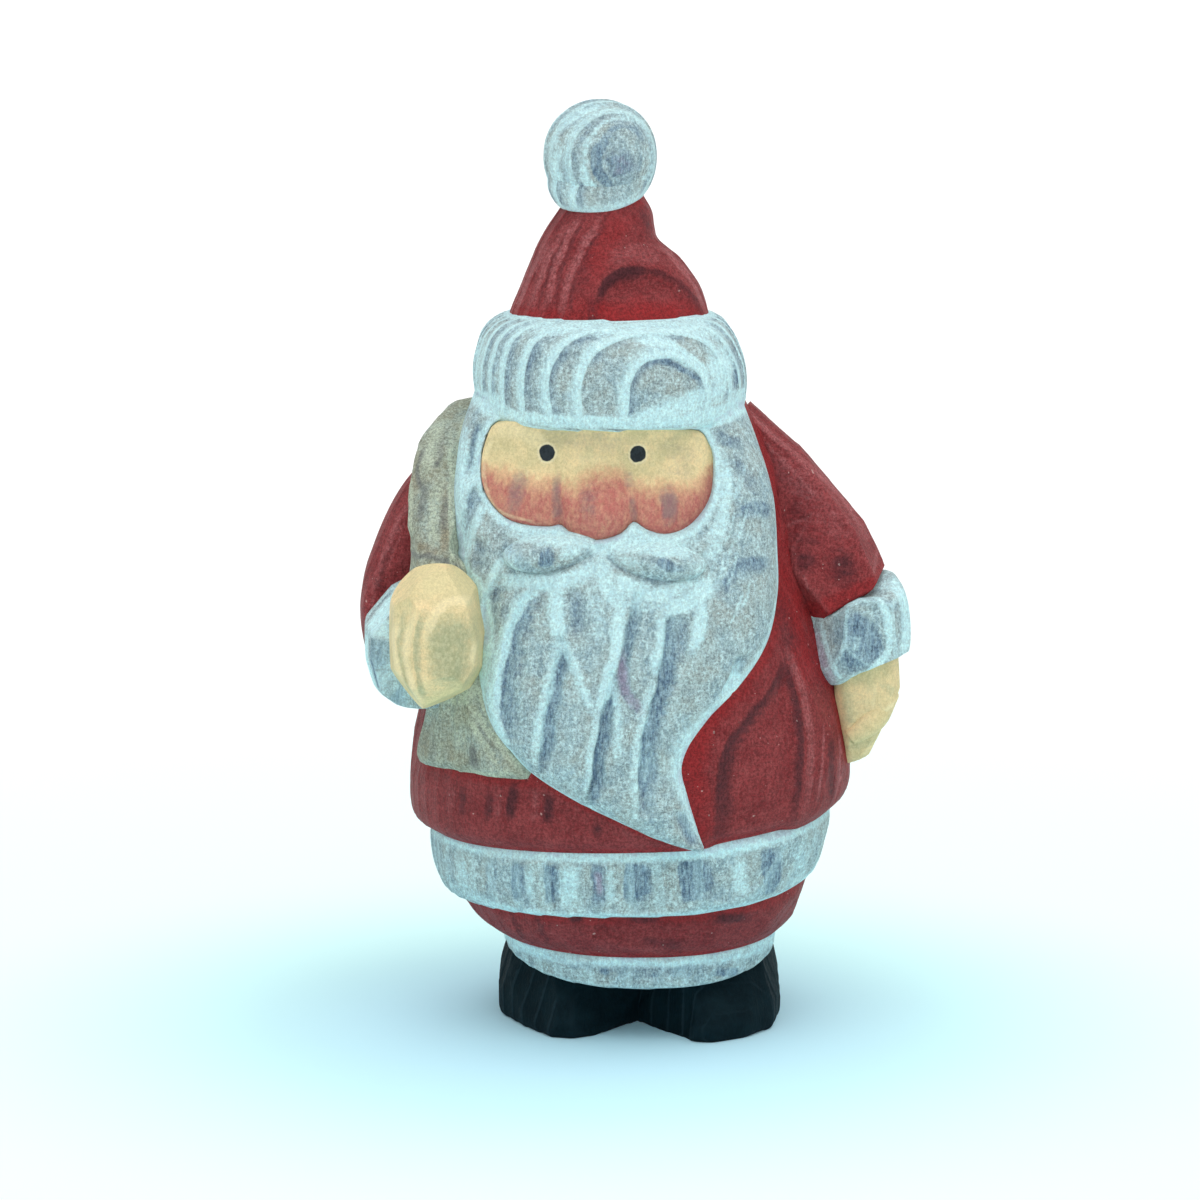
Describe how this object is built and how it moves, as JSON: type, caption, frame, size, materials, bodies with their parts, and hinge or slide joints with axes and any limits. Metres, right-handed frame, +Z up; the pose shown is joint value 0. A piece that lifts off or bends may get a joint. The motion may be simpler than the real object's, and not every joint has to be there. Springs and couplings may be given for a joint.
{
  "type": "carved santa figure",
  "caption": "Small standing painted wood figure of a stout bearded man in a fur-trimmed coat and bobble cap, a sack over one shoulder, carved from one block; stands on its boots.",
  "frame": {"origin": "on the ground, in the flat underside between the boots", "axes": "+Z up through the cap, the figure faces -Y, +X to the right of one who looks at its face"},
  "size_m": [0.0654, 0.05, 0.1101],
  "materials": {
    "red_paint": "matt red paint brushed on bare wood, worn lighter along the ridges of the annual rings",
    "whitewash": "dry-brushed white over a grey-blue wash, annual rings standing out",
    "skin_paint": "matt cream paint with a rosy blush on the cheeks and nose",
    "sack_paint": "thin grey-olive wash with pale edges",
    "boot_paint": "satin black paint over knife facets"
  },
  "bodies": {
    "root": {"carved_figure": "red_paint"}
  },
  "joints": []
}
